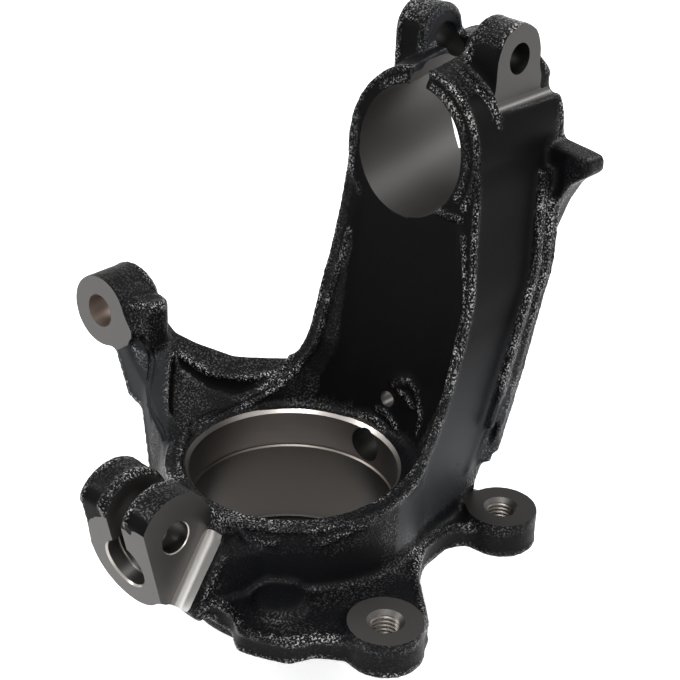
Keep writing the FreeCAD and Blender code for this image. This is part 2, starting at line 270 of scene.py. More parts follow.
# Metal that fills the bores and stands proud of the faces until they are machined. First the
# bearing bore and the strut bore, whose plug is sliced off level with the leaning web.
add_rod(pour, (0, 0, -23.6), (0, 0, 35.6), 44.0)
strut_plug = add_rod(pour, STRUT_MOUTH - STRUT_AXIS * 14, STRUT_MOUTH + STRUT_AXIS * 57.6, 26.5)
strut_faces = {f for v in strut_plug for f in v.link_faces}
strut_edges = {e for v in strut_plug for e in v.link_edges}
sliced = bmesh.ops.bisect_plane(
    pour, geom=list(strut_plug) + list(strut_edges) + list(strut_faces),
    plane_co=(STRUT_MOUTH + WEB_NORMAL * 0.4) * MM, plane_no=-WEB_NORMAL, clear_outer=True)
bmesh.ops.holes_fill(pour, edges=[g for g in sliced["geom_cut"] if isinstance(g, bmesh.types.BMEdge)])

# The two ears of the strut clamp, the milled side of the near one and the slot between them.
add_cross_rod(pour, STRUT_BOLT, -23.4, -9.2, PLUG_RADIUS, sides=32)
add_cross_rod(pour, STRUT_BOLT, 13.2, 29.0, PLUG_RADIUS, sides=32)
add_slab(pour, [(77.3, 176), (77.3, 191.5), (81.2, 201.2), (91, 205.2), (100.8, 201.2), (104.7, 191.5),
                (104.7, 176)], 26, 3.4, spread=(1, 2))
add_slab(pour, [(-3.5, 181), (7.5, 181), (7.5, 186), (-3.5, 186)], 72, 44, spread=(0, 2))

# The ball joint clamp: bore, bolt hole, slot, the milled side with its neck, and the lower face.
add_rod(pour, JOINT_MOUTH - JOINT_AXIS * 1.2, JOINT_MOUTH + JOINT_AXIS * 29.5, 11.5, sides=48)
add_cross_rod(pour, JOINT_BOLT, -19.5, 17.2, PLUG_RADIUS, sides=32)
add_rod(pour, (-6.8, -78.5, 46), (4.8, -78.5, 46), 14.6, sides=72)
add_slab(pour, [(-92.5, 31), (-92.5, 46), (-66, 46), (-66, 31)], -6.8, 11.6, spread=(1, 2))
add_rod(pour, (11, -78, 46), (17.6, -78, 46), 16.8, sides=72)
add_slab(pour, [(-93.5, 27), (-94.5, 46), (-64, 46), (-62, 30), (-72, 14), (-84, 18)], 11, 6.6, spread=(1, 2))
add_slab(pour, [(-62, 41), (-50, 32), (-58, 10), (-72, 8.3), (-84, 20.4)], 8, 14.7, spread=(1, 2))
add_rod(pour, JOINT_MOUTH - JOINT_AXIS * 2.0, JOINT_MOUTH + JOINT_AXIS * 3.0, 18.9, sides=72)

# The tie rod eye, the caliper bosses, and the sensor's bore and screw hole.
add_rod(pour, (EYE.x, -13, EYE.z), (EYE.x, 10.3, EYE.z), 9, sides=40)
add_rod(pour, (EYE.x, -12.8, EYE.z), (EYE.x, -8, EYE.z), 15.9, sides=64)
add_slab(pour, [(-98, 81), (-92, 77), (-84.8, 67), (-84.4, 63.8), (-94, 56.4), (-102, 58)], -12.6, 4,
         spread=(0, 2))
for x, y in CALIPER_HOLES:
    add_rod(pour, (x, y, 3.0), (x, y, 18.4), 7, sides=32)
    add_rod(pour, (x, y, 12.0), (x, y, 18.4), 14.7, sides=64)
add_rod(pour, (SENSOR_X, 40, SENSOR_Z), (SENSOR_X, 63.6, SENSOR_Z), 8.6, sides=40)
add_rod(pour, (SCREW_X, 47.0, SCREW_Z), (SCREW_X, 54.6, SCREW_Z), 4.4, sides=24)

rough_mesh = bpy.data.meshes.new("rough_casting")
pour.to_mesh(rough_mesh)
pour.free()
knuckle = bpy.data.objects.new("knuckle", rough_mesh)
bpy.context.scene.collection.objects.link(knuckle)


def settle(piece):
    """Turn the modifiers of a piece into plain mesh."""
    graph = bpy.context.evaluated_depsgraph_get()
    done = bpy.data.meshes.new_from_object(piece.evaluated_get(graph))
    piece.modifiers.clear()
    old = piece.data
    piece.data = done
    bpy.data.meshes.remove(old)


def recast(piece, cell):
    """One closed skin round everything that was joined."""
    skin = piece.modifiers.new("skin", "REMESH")
    skin.mode = "VOXEL"
    skin.voxel_size = cell
    settle(piece)


def swell(piece, by):
    """Push the whole skin out, or in, by one distance."""
    push = piece.modifiers.new("push", "DISPLACE")
    push.strength = by
    push.mid_level = 0.0
    settle(piece)


# Swollen and shrunk again, the skin keeps round blends in its inner corners.
BLEND = 1.1 * MM
recast(knuckle, GRAIN_CELL)
swell(knuckle, BLEND)
recast(knuckle, GRAIN_CELL)
swell(knuckle, -BLEND)
recast(knuckle, GRAIN_CELL)
soften = knuckle.modifiers.new("soften", "SMOOTH")
soften.factor = 0.5
soften.iterations = 3
settle(knuckle)


def fade(value, low, high):
    """0 below low, 1 above high and straight between them."""
    return max(0.0, min(1.0, (value - low) / (high - low)))


def on_web(at, way):
    """True on the flat front of the web and on the front of the strut clamp."""
    return at.z > 40 and -25 < at.x < 45 and way.dot(-WEB_NORMAL) > 0.8


def on_outer_wall(at, way):
    """True on the smooth outer wall of the right flange."""
    return at.x > 24 and way.x > 0.6 and 0 < at.y < 110 and at.z > 20


def on_front_rail(at, way):
    """True on the smooth rail between the tie rod eye and the bearing ring."""
    return at.x < -44 and way.z > 0.55 and at.z < 60 and at.y < 0.5 - 0.95 * (at.x + 74)


def on_front_panel(at, way):
    """True on the panel below the tie rod eye."""
    return at.x < -60 and at.y < -5 and way.y < -0.6 and at.z < 62


def in_pocket_wall(at, way):
    """True on the steep sides of the pocket in the arm, which face its middle."""
    outward = way.y if at.y > 4 else -way.y
    return -76 < at.x < -44 and at.z > 32 and way.z < 0.62 and -20 < at.y < 24 and outward < 0.2


def on_low_pad(at, way):
    """True on the flat top of the low pad on the caliper plate."""
    return way.z > 0.8 and (at - Vector((41.3, -49.5, 17.5))).length < 9


def on_plate_edge(at, way):
    """True on the upright edge of the caliper plate."""
    return at.z < 13 and abs(way.z) < 0.5 and math.hypot(at.x, at.y) > 50


def hub_turn(at):
    """Degrees round the hub axis, 0 on the caliper's side."""
    return math.degrees(math.atan2(at.y, at.x))


def on_ring_side(at, way):
    """True on the smooth outer side of the bearing ring, under its top."""
    return -100 < hub_turn(at) < -8 and 4 < at.z < 29 and abs(way.z) < 0.6 and math.hypot(at.x, at.y) < 58


def on_ring_top(at):
    """True on the rough top of the bearing ring, in front."""
    return -118 < hub_turn(at) < -30 and at.z > 32.5 and math.hypot(at.x, at.y) < 53


def on_ear_side(at, way):
    """True on the smooth sides of the strut clamp's ears."""
    return at.z > 178 and way.z < 0.4


def in_clamp_slot(at, way):
    """True on the faces of the same ears that look into the slot."""
    return -6 < at.x < 10 and abs(way.x) > 0.6 and at.z > 176


def on_ear_top(at, way):
    """True on the round tops of the ears, which are the roughest places."""
    return at.z > 190 and way.z > 0.45


def sandiness(at, way):
    """How rough the mould left the skin at a place, from 0.1 on the smooth faces to 1."""
    rough = 0.36
    if on_web(at, way):
        rough = 0.08
    if on_outer_wall(at, way):
        rear = 68 + (at.z - 30) * 0.40
        rough = 0.1 + 0.5 * fade(at.y, rear - 12, rear - 6) + 0.35 * fade(32 - at.z, 0, 12)
    if on_front_rail(at, way):
        rough = 0.12 + 0.5 * fade(-72 - at.x, 0, 6)
    if on_front_panel(at, way) or in_pocket_wall(at, way):
        rough = 0.1
    if on_low_pad(at, way):
        rough = 0.15
    if on_ear_side(at, way):
        rough = 0.1
    if on_ear_top(at, way):
        rough = 1.0
    if on_ring_side(at, way) or in_clamp_slot(at, way):
        rough = 0.12
    if on_plate_edge(at, way):
        rough = 0.16
    if on_ring_top(at):
        rough = 0.9
    near = roughest.find(at)[2]
    return max(rough, 1.0 - fade(near, RIM_RADIUS, RIM_REACH))


def on_far_ear(at, way):
    """True on the side of the far ear that looks into the slot."""
    return at.z > 178 and at.x < 0 and way.x > 0.6


def gloss_and_painted_sheen(at, way):
    """How much the coat shines between the grains, from none on the web to 1 low on the outer wall. It sets
    the coat's specular level and also paints a lighter blue sheen into its colour, with painted shade where
    it is 0.
    """
    # Painted shade: the web gets no sheen, so its colour is the darkest.
    if on_web(at, way):
        return 0.0
    # Painted light: the outer wall's colour grows lighter towards its foot.
    if on_outer_wall(at, way):
        return 0.03 + 0.55 * fade(92 - at.z, 0, 45)
    # Painted sheen on the smooth panel and rail below the eye.
    if on_front_panel(at, way) or on_front_rail(at, way):
        return 0.42
    # Painted shade: the pocket walls get no sheen, so their colour is the darkest.
    if in_pocket_wall(at, way):
        return 0.0
    # Painted sheen on the far ear's side that looks into the slot.
    if on_far_ear(at, way):
        return 0.5
    return 0.1


# The sand leaves its own skin: long soft waves and a coarse grain, strongest on the rims. It is laid
# a little under the drawn surface, so that the grains stay inside the casting's true size.
WAVE_HEIGHT = 0.15
GRAIN_HEIGHT = 0.17
SKIN_DEPTH = 0.12
WAVES_PER_METRE = 60
GRAINS_PER_METRE = 560
GRAIN_SHIFT = Vector((7, 3, 5))
SKIN_TRIANGLES = 176000
cast_skin = knuckle.data
lowest = cad_low + Vector((0.02, 0.02, 0.02)) * MM
highest = cad_high - Vector((0.02, 0.02, 0.02)) * MM
spots = [v.co.copy() for v in cast_skin.vertices]
ways = [v.normal.copy() for v in cast_skin.vertices]
for vertex, spot, way in zip(cast_skin.vertices, spots, ways):
    sand = sandiness(spot / MM, way)
    wave = noise.noise(spot * WAVES_PER_METRE) * WAVE_HEIGHT
    grain = noise.noise(spot * GRAINS_PER_METRE + GRAIN_SHIFT) * GRAIN_HEIGHT * sand
    moved = spot + way * (wave + grain - SKIN_DEPTH) * MM
    vertex.co = [min(max(moved[i], lowest[i]), highest[i]) for i in range(3)]
thin = knuckle.modifiers.new("thin", "DECIMATE")
thin.ratio = min(1.0, SKIN_TRIANGLES / (2 * len(cast_skin.polygons)))
settle(knuckle)


# Machining. The bores are turned and reamed, the clamp faces and seats are milled and the
# slots sawn after the part is coated, so these surfaces are bare iron. Each cut leaves its own finish, and
# several tints also paint light and shade.
def metal_tool(name):
    """An empty tool mesh and the object that carries it."""
    tool = bpy.data.objects.new(name, bpy.data.meshes.new(name))
    bpy.context.scene.collection.objects.link(tool)
    return tool, bmesh.new()


def turned_profile(mesh, profile, sides=160, hollow=False):
    """Body of revolution about the hub axis from (radius, height) corners, solid or a hollow ring."""
    rings = []
    for r, z in profile:
        rings.append([mesh.verts.new(Vector((r * math.cos(a), r * math.sin(a), z)) * MM)
                      for a in (2 * math.pi * k / sides for k in range(sides))])
    faces = [] if hollow else [mesh.faces.new(rings[0]), mesh.faces.new(rings[-1])]
    pairs = list(zip(rings[:-1], rings[1:])) + ([(rings[-1], rings[0])] if hollow else [])
    for a, b in pairs:
        for k in range(sides):
            faces.append(mesh.faces.new((a[k], a[(k + 1) % sides], b[(k + 1) % sides], b[k])))
    bmesh.ops.recalc_face_normals(mesh, faces=faces)


def machine(name, build, finish):
    """Cut one tool out of the knuckle and leave its finish on what it cut."""
    tool, mesh = metal_tool(name)
    build(mesh)
    mesh.to_mesh(tool.data)
    mesh.free()
    tool.data.materials.append(finish)
    cut = knuckle.modifiers.new(name, "BOOLEAN")
    cut.operation = "DIFFERENCE"
    cut.solver = "MANIFOLD"
    cut.material_mode = "TRANSFER"
    cut.object = tool
    settle(knuckle)
    bpy.data.objects.remove(tool, do_unlink=True)


coat = bpy.data.materials.new("black_dip_coat")
turned = bpy.data.materials.new("turned_bearing_seat")
reamed = bpy.data.materials.new("reamed_strut_bore")
milled = bpy.data.materials.new("milled_iron")
faced = bpy.data.materials.new("faced_iron")
shade_milled = bpy.data.materials.new("milled_iron_painted_shade")
deep_shade_milled = bpy.data.materials.new("milled_iron_deep_painted_shade")
entry_painted_light = bpy.data.materials.new("bearing_entry_painted_light")
bevel_highlight = bpy.data.materials.new("bevel_iron_painted_highlight")
seat_corner_highlight = bpy.data.materials.new("seat_corner_painted_highlight")
shaded = bpy.data.materials.new("drilled_hole_painted_shade")
rust_and_painted_light = bpy.data.materials.new("eye_bore_rust_and_painted_light")
cut_line_highlight = bpy.data.materials.new("cut_iron_painted_highlight")
knuckle.data.materials.append(coat)

# Bearing bore: the seat, the wider entry above it, the lip below it and their small bevels.
SEAT_RADIUS = 41.0
SEAT_FOOT = -18.5
ENTRY_RADIUS = 42.0
ENTRY_FOOT = 19.0
LIP_RADIUS = 37.5
ABOVE_RING = 48.0
machine("bearing_bore", lambda m: turned_profile(m, [
    (LIP_RADIUS, -30), (LIP_RADIUS, SEAT_FOOT), (SEAT_RADIUS, SEAT_FOOT), (SEAT_RADIUS, ABOVE_RING)]), turned)
# The entry takes a lighter tint of the turned iron, which is painted light.
machine("bearing_entry", lambda m: turned_profile(m, [
    (40.0, ENTRY_FOOT), (ENTRY_RADIUS, ENTRY_FOOT), (ENTRY_RADIUS, ABOVE_RING), (40.0, ABOVE_RING)],
    hollow=True), entry_painted_light)
# The bevels take a light tint that is painted highlight.
machine("bearing_lip_bevel", lambda m: turned_profile(m, [
    (36.5, -20.4), (39.4, -17.5), (36.5, -17.5)], hollow=True), bevel_highlight)
machine("bearing_shoulder", lambda m: turned_profile(m, [
    (38.0, -18.56), (40.8, -18.56), (40.8, -18.2), (38.0, -18.2)], hollow=True), faced)
# The seat's foot and the lead-in take a lighter cut iron as painted highlight lines.
machine("bearing_seat_foot", lambda m: turned_profile(m, [
    (40.5, -17.6), (41.12, -17.3), (41.12, -16.5), (40.5, -16.2)], hollow=True), cut_line_highlight)
machine("bearing_lead_in", lambda m: turned_profile(m, [
    (40.0, 17.4), (ENTRY_RADIUS, 19.4), (ENTRY_RADIUS, 19.7), (40.0, 19.7)], hollow=True), cut_line_highlight)
machine("bearing_mouth", lambda m: turned_profile(m, [
    (SEAT_RADIUS, 33.4), (43.5, 35.9), (43.5, ABOVE_RING), (SEAT_RADIUS, ABOVE_RING)], hollow=True), bevel_highlight)

# Strut clamp: bore, slot, pinch bolt hole, the notch in its rear rim and the milled bolt seat.
STRUT_RADIUS = 25.5
BOLT_HOLE_RADIUS = 6.3
machine("strut_bore", lambda m: add_rod(m, STRUT_MOUTH - STRUT_AXIS * 30, STRUT_MOUTH + STRUT_AXIS * 90,
                                        STRUT_RADIUS, sides=160), reamed)
machine("strut_slot", lambda m: add_slab(m, [(-2, 154.5), (6, 154.5), (6, 240), (-2, 240)], 40, 100,
                                         spread=(0, 2)), milled)
# The bolt hole takes the near black iron, which is painted shade.
machine("strut_bolt_hole", lambda m: add_cross_rod(m, STRUT_BOLT, -60, 60, BOLT_HOLE_RADIUS), shaded)


def rear_notch(mesh):
    """A notch in the rear rim of the clamp, low on its inner side, through which daylight shows."""
    inner = [(-14.9, 106.2, 152.7), (-13.0, 111.3, 150.7), (-4.8, 104.5, 142.7), (-5.9, 101.1, 142.8),
             (-10.7, 104.0, 146.9)]
    outer = [(-30.4, 126.4, 143.7), (-28.4, 131.5, 141.6), (-20.0, 124.7, 133.2), (-21.2, 121.2, 133.3),
             (-26.1, 124.1, 137.6)]
    rings = [[mesh.verts.new(Vector(v) * MM) for v in ring] for ring in (inner, outer)]
    faces = [mesh.faces.new(rings[0]), mesh.faces.new(rings[1])]
    for i in range(len(inner)):
        j = (i + 1) % len(inner)
        faces.append(mesh.faces.new((rings[0][i], rings[0][j], rings[1][j], rings[1][i])))
    bmesh.ops.recalc_face_normals(mesh, faces=faces)


machine("strut_rear_notch", rear_notch, coat)

SEAT_BACK = 76.6
SEAT_LENGTH = 36
HOLLOW_RADIUS = 2.8


def bolt_seat(mesh):
    """The step that is milled into the side of the near ear for the head of the pinch bolt."""
    corner = [(EAR_FACE, 240), (EAR_FACE, 176.4), (30.5, 173.5), (60, 173.5), (60, 240)]
    add_slab(mesh, corner, SEAT_BACK, SEAT_LENGTH, spread=(0, 2))


def bolt_seat_hollow(mesh):
    """The bright round corner that the cutter leaves at the foot of the seat."""
    corner = [(EAR_FACE + HOLLOW_RADIUS * (1 - math.cos(a)), 176.3 - HOLLOW_RADIUS * math.sin(a))
              for a in (math.pi / 2 * k / 8 for k in range(9))]
    outline = [(29.5, 177.5), (EAR_FACE, 177.5)] + corner + [(31.6, 173.5), (31.6, 175.5)]
    add_slab(mesh, outline, SEAT_BACK, SEAT_LENGTH, spread=(0, 2))


# The bolt seat takes the darker copy of the milled iron, which is painted shade.
machine("strut_bolt_seat", bolt_seat, shade_milled)
machine("strut_bolt_seat_hollow", bolt_seat_hollow, faced)

# Ball joint clamp: bore with its bevels, slot, pinch bolt hole, bolt seat and lower face.
JOINT_RADIUS = 10
machine("joint_bore", lambda m: add_rod(m, JOINT_MOUTH - JOINT_AXIS * 20, JOINT_MOUTH + JOINT_AXIS * 29,
                                        JOINT_RADIUS), milled)
machine("joint_mouth", lambda m: add_rod(m, JOINT_MOUTH - JOINT_AXIS * 3, JOINT_MOUTH + JOINT_AXIS * 2,
                                         12.6, 9.2), bevel_highlight)
machine("joint_bore_step", lambda m: add_rod(m, JOINT_MOUTH + JOINT_AXIS * 6, JOINT_MOUTH + JOINT_AXIS * 6.9,
                                             10.6), bevel_highlight)
machine("joint_slot", lambda m: add_slab(m, [(-108, 30), (-55, 30), (-55, 77), (-108, 77)], -5, 8,
                                         spread=(1, 2)), faced)
machine("joint_bolt_hole", lambda m: add_cross_rod(m, JOINT_BOLT, -50, 40, BOLT_HOLE_RADIUS), shade_milled)
machine("joint_bolt_bevel", lambda m: add_rod(m, (15.5, *JOINT_BOLT), (20.5, *JOINT_BOLT), 6.2, 11.2),
        bevel_highlight)

SEAT_CORNER = 3.8
SEAT_WALL_TOP = Vector((-62.2, 38.5))
SEAT_WALL_FOOT = Vector((-88.0, 1.9))
SEAT_WALL_FACES = Vector((-0.818, 0.575))


def seat_ring(mesh, level, inset):
    """Outline of the ball joint's bolt seat at one depth, its slanting wall moved by the inset."""
    top = SEAT_WALL_TOP + SEAT_WALL_FACES * inset
    foot = SEAT_WALL_FOOT + SEAT_WALL_FACES * inset
    outline = ((-115, -12), (-115, 90), (-61, 90), (-61, 43), top, foot)
    return [mesh.verts.new(Vector((level, y, z)) * MM) for y, z in outline]


def joint_seat(mesh, layers=10):
    """Milled seat whose cutter leaves a round hollow where the face meets the neck."""
    rings = []
    for k in range(layers + 2):
        turn = math.pi / 2 * min(k, layers) / layers
        level = JOINT_FACE + SEAT_CORNER * (1 - math.cos(turn)) + (40 if k > layers else 0)
        rings.append(seat_ring(mesh, level, SEAT_CORNER * (1 - math.sin(turn))))
    faces = [mesh.faces.new(rings[0]), mesh.faces.new(rings[-1])]
    for a, b in zip(rings[:-1], rings[1:]):
        for i in range(len(a)):
            faces.append(mesh.faces.new((a[i], a[(i + 1) % len(a)], b[(i + 1) % len(a)], b[i])))
    bmesh.ops.recalc_face_normals(mesh, faces=faces)


def joint_face(mesh):
    """The flat part of the same seat."""
    rings = [seat_ring(mesh, 15.95, SEAT_CORNER - 0.3), seat_ring(mesh, 16.6, SEAT_CORNER - 0.3)]
    faces = [mesh.faces.new(rings[0]), mesh.faces.new(rings[-1])]
    for i in range(len(rings[0])):
        a = (i + 1) % len(rings[0])
        faces.append(mesh.faces.new((rings[0][i], rings[0][a], rings[1][a], rings[1][i])))
    bmesh.ops.recalc_face_normals(mesh, faces=faces)


machine("joint_neck_relief", lambda m: add_slab(m, [
    (-115, 41.5), (-115, 90), (-60.6, 90), (-60.6, 41.5)], 16.1, 40, spread=(1, 2)), coat)
# The bolt seat's round corner takes the painted highlight.
machine("joint_bolt_seat", joint_seat, seat_corner_highlight)
# The flat of the seat takes the darker copy of the milled iron, which is painted shade.
machine("joint_bolt_face", joint_face, shade_milled)


def below_joint(mesh):
    """Everything under the lower face of the ball joint clamp."""
    block = bmesh.ops.create_cube(mesh, size=120 * MM)["verts"]
    bmesh.ops.transform(mesh, verts=block, matrix=Matrix.Translation(JOINT_MOUTH * MM) @ turned_to(JOINT_AXIS)
                        @ Matrix.Translation(Vector((0, 0, -60)) * MM))


# The lower face takes the darker copy of the milled iron, which is painted shade.
machine("joint_lower_face", below_joint, shade_milled)

# Steering arm: tie rod hole, its milled face, and the dark crease in the coat below the eye.
# The eye's bore takes a rust tinge with painted light.
machine("tie_rod_hole", lambda m: add_rod(m, (EYE.x, -30, EYE.z), (EYE.x, 40, EYE.z), 7.3), rust_and_painted_light)
machine("tie_rod_face", lambda m: add_rod(m, (EYE.x, -31.3, EYE.z), (EYE.x, EYE.y, EYE.z), 16.8), faced)
machine("tie_rod_face_corner", lambda m: add_slab(m, [
    (-98, 86), (-90, 80), (-83.4, 68.5), (-83.2, 62.8), (-93.8, 55.0), (-102, 50)], -31.3, 20,
    spread=(0, 2)), faced)
machine("arm_crease", lambda m: add_bead(m, [
    (-82.9, -7.9, 64.1), (-80.4, -6.9, 60.5), (-79.4, -5.2, 57.0), (-77.1, -6.6, 54.9), (-73.1, -11.0, 52.0),
    (-70.1, -15.4, 49.1), (-67.0, -18.0, 44.8), (-63.9, -19.9, 41.8), (-59.2, -21.9, 40.4),
    (-52.9, -24.3, 39.3), (-46.8, -27.1, 37.4)], 1.45), coat)


# Caliper bosses with their M12 threads, the sensor's bore and its screw hole.
def tap(mesh, x, y, minor=5.1, major=6.0, pitch=1.75, low=-2.0, high=19.0, around=48, per_turn=10):
    """A thread cutter: a bar whose radius climbs and falls along a helix."""
    rows = int((high - low) / pitch * per_turn)
    rings = []
    for j in range(rows + 1):
        z = low + (high - low) * j / rows
        ring = []
        for k in range(around):
            turn = k / around
            phase = (z / pitch - turn) % 1.0
            r = minor + (major - minor) * max(0.0, 1 - abs(phase - 0.5) / 0.42)
            a = 2 * math.pi * turn
            ring.append(mesh.verts.new(Vector((x + r * math.cos(a), y + r * math.sin(a), z)) * MM))
        rings.append(ring)
    faces = [mesh.faces.new(rings[0]), mesh.faces.new(rings[-1])]
    for a, b in zip(rings[:-1], rings[1:]):
        for k in range(around):
            faces.append(mesh.faces.new((a[k], a[(k + 1) % around], b[(k + 1) % around], b[k])))
    bmesh.ops.recalc_face_normals(mesh, faces=faces)


# The upper caliper face takes the much darker copy of the milled iron, which is painted shade.
for label, (x, y) in zip(("upper", "lower"), CALIPER_HOLES):
    machine("caliper_face_" + label, lambda m: add_rod(m, (x, y, 17.5), (x, y, 21), 15.5),
            deep_shade_milled if label == "upper" else milled)
    machine("caliper_thread_" + label, lambda m: tap(m, x, y), cut_line_highlight)
    machine("caliper_bevel_" + label, lambda m: add_rod(m, (x, y, 15.5), (x, y, 20.5), 5.1, 10.1), faced)
# The sensor's bore takes the near black iron, which is painted shade.
machine("sensor_bore", lambda m: add_rod(m, (SENSOR_X, 30, SENSOR_Z), (SENSOR_X, 90, SENSOR_Z), 7.5,
                                         sides=64), shaded)
machine("sensor_screw_hole", lambda m: add_rod(m, (SCREW_X, 30, SCREW_Z), (SCREW_X, 90, SCREW_Z), 3.4,
                                               sides=40), milled)


def painted_highlight(at):
    """Painted highlight on the ball joint's bolt seat: brighter with the height above its face."""
    return fade(at.x - JOINT_FACE, 0.8, 2.7)


# The cast skin is smooth all over, and an edge is sharp where two finishes meet or a cut turns.
CUT_ANGLE = math.radians(28)
knuckle_mesh = knuckle.data
knuckle_mesh.polygons.foreach_set("use_smooth", [True] * len(knuckle_mesh.polygons))
finish_of = [p.material_index for p in knuckle_mesh.polygons]
edge_faces = {}
for face in knuckle_mesh.polygons:
    for key in face.edge_keys:
        edge_faces.setdefault(key, []).append(face.index)
normals = [p.normal.copy() for p in knuckle_mesh.polygons]
sharp = []
for edge in knuckle_mesh.edges:
    pair = edge_faces.get(tuple(sorted(edge.vertices)), [])
    hard = False
    if len(pair) == 2:
        a, b = pair
        if finish_of[a] != finish_of[b]:
            hard = True
        elif finish_of[a] > 0:
            hard = normals[a].angle(normals[b], 0) > CUT_ANGLE
    sharp.append(hard)
knuckle_mesh.attributes.new("sharp_edge", "BOOLEAN", "EDGE").data.foreach_set("value", sharp)

sand_map = knuckle_mesh.attributes.new("sand", "FLOAT", "POINT")
sand_map.data.foreach_set("value", [sandiness(v.co / MM, v.normal) for v in knuckle_mesh.vertices])
# Painted sheen for the coat's colour, which also sets its gloss, per point.
gloss_and_painted_sheen_map = knuckle_mesh.attributes.new("gloss_and_painted_sheen", "FLOAT", "POINT")
gloss_and_painted_sheen_map.data.foreach_set("value", [gloss_and_painted_sheen(v.co / MM, v.normal) for v in knuckle_mesh.vertices])
# Painted highlight on the round corner of the ball joint's bolt seat, per point.
painted_highlight_map = knuckle_mesh.attributes.new("painted_highlight", "FLOAT", "POINT")
painted_highlight_map.data.foreach_set("value", [painted_highlight(v.co / MM) for v in knuckle_mesh.vertices])

# Black dip coat over rough cast skin: nearly black and half gloss. The sand grains under it glitter where the
# light grazes them, and where they glitter most their colour is painted light grey as painted glints. The
# smooth faces get a faint blue sheen painted into their colour, with painted shade on the web and the pocket
# walls.
coat.use_nodes = True
coat_nodes = coat.node_tree.nodes
coat_links = coat.node_tree.links
shell = coat_nodes["Principled BSDF"]
where = coat_nodes.new("ShaderNodeTexCoord")
sand = coat_nodes.new("ShaderNodeAttribute")
sand.attribute_name = "sand"
gloss_and_painted_sheen_node = coat_nodes.new("ShaderNodeAttribute")
gloss_and_painted_sheen_node.attribute_name = "gloss_and_painted_sheen"


def spread_noise(scale, detail, roughness):
    """A noise texture laid over the casting at one scale."""
    texture = coat_nodes.new("ShaderNodeTexNoise")
    texture.inputs["Scale"].default_value = scale
    texture.inputs["Detail"].default_value = detail
    texture.inputs["Roughness"].default_value = roughness
    coat_links.new(where.outputs["Object"], texture.inputs["Vector"])
    return texture.outputs["Fac"]


def between(source, low, high, start, stop):
    """A value moved from one range to another."""
    change = coat_nodes.new("ShaderNodeMapRange")
    for name, value in (("From Min", low), ("From Max", high), ("To Min", start), ("To Max", stop)):
        change.inputs[name].default_value = value
    coat_links.new(source, change.inputs["Value"])
    return change.outputs["Result"]


def combined(operation, first, second):
    """Two values multiplied or added."""
    node = coat_nodes.new("ShaderNodeMath")
    node.operation = operation
    coat_links.new(first, node.inputs[0])
    coat_links.new(second, node.inputs[1])
    return node.outputs["Value"]


grains = spread_noise(1250, 1.5, 0.5)
patches = spread_noise(55, 3, 0.5)
# Painted sheen: the colour runs from near black to a lighter blue grey as the sheen value grows.
painted_sheen_tone = coat_nodes.new("ShaderNodeMixRGB")
painted_sheen_tone.inputs["Color1"].default_value = (0.0026, 0.0026, 0.0028, 1)
painted_sheen_tone.inputs["Color2"].default_value = (0.0135, 0.0150, 0.0190, 1)
coat_links.new(gloss_and_painted_sheen_node.outputs["Fac"], painted_sheen_tone.inputs["Fac"])
glitter = combined("MULTIPLY", between(grains, 0.5, 0.66, 0.0, 1.0), between(patches, 0.4, 0.6, 0.25, 1.15))
glitter = combined("MULTIPLY", glitter, between(sand.outputs["Fac"], 0.1, 1.0, 0.0, 1.0))
# Painted glints: where the grains glitter most, their colour turns light grey on top of their real specular
# glint.
painted_glint = coat_nodes.new("ShaderNodeMixRGB")
painted_glint.inputs["Color2"].default_value = (0.28, 0.27, 0.26, 1)
coat_links.new(combined("MULTIPLY", glitter, glitter), painted_glint.inputs["Fac"])
coat_links.new(painted_sheen_tone.outputs["Color"], painted_glint.inputs["Color1"])
coat_links.new(painted_glint.outputs["Color"], shell.inputs["Base Color"])
gloss = combined("ADD", glitter, between(gloss_and_painted_sheen_node.outputs["Fac"], 0.0, 1.0, 0.03, 0.3))
coat_links.new(gloss, shell.inputs["Specular IOR Level"])
coat_links.new(between(sand.outputs["Fac"], 0.1, 1.0, 0.5, 0.22), shell.inputs["Roughness"])
rise = coat_nodes.new("ShaderNodeBump")
rise.inputs["Strength"].default_value = 1.0
rise.inputs["Distance"].default_value = 0.6 * MM
coat_links.new(combined("MULTIPLY", grains, sand.outputs["Fac"]), rise.inputs["Height"])
coat_links.new(rise.outputs["Normal"], shell.inputs["Normal"])


# Bare iron in its finishes. Several tints also paint light and shade: the near black drilled holes and the
# darker copies of milled iron are painted shade, and the lighter bearing entry, bevels, cut lines and seat
# corner are painted light and highlights; the eye's bore is rust with painted light.
def bare_iron(material, tint, gloss, across, pitch, depth):
    """Cut iron with fine tool marks: its tint, roughness, stretch of the marks, their pitch and depth."""
    material.use_nodes = True
    nodes = material.node_tree.nodes
    links = material.node_tree.links
    skin = nodes["Principled BSDF"]
    skin.inputs["Base Color"].default_value = (*tint, 1)
    skin.inputs["Metallic"].default_value = 1.0
    skin.inputs["Roughness"].default_value = gloss
    place = nodes.new("ShaderNodeTexCoord")
    stretch = nodes.new("ShaderNodeMapping")
    stretch.inputs["Scale"].default_value = across
    marks = nodes.new("ShaderNodeTexNoise")
    marks.inputs["Scale"].default_value = 1 / (pitch * MM)
    marks.inputs["Detail"].default_value = 2
    bump = nodes.new("ShaderNodeBump")
    bump.inputs["Strength"].default_value = 0.6
    bump.inputs["Distance"].default_value = depth * MM
    links.new(place.outputs["Object"], stretch.inputs["Vector"])
    links.new(stretch.outputs["Vector"], marks.inputs["Vector"])
    links.new(marks.outputs["Fac"], bump.inputs["Height"])
    links.new(bump.outputs["Normal"], skin.inputs["Normal"])


bare_iron(turned, (0.055, 0.05, 0.046), 0.35, (0.012, 0.012, 1), 0.5, 0.02)
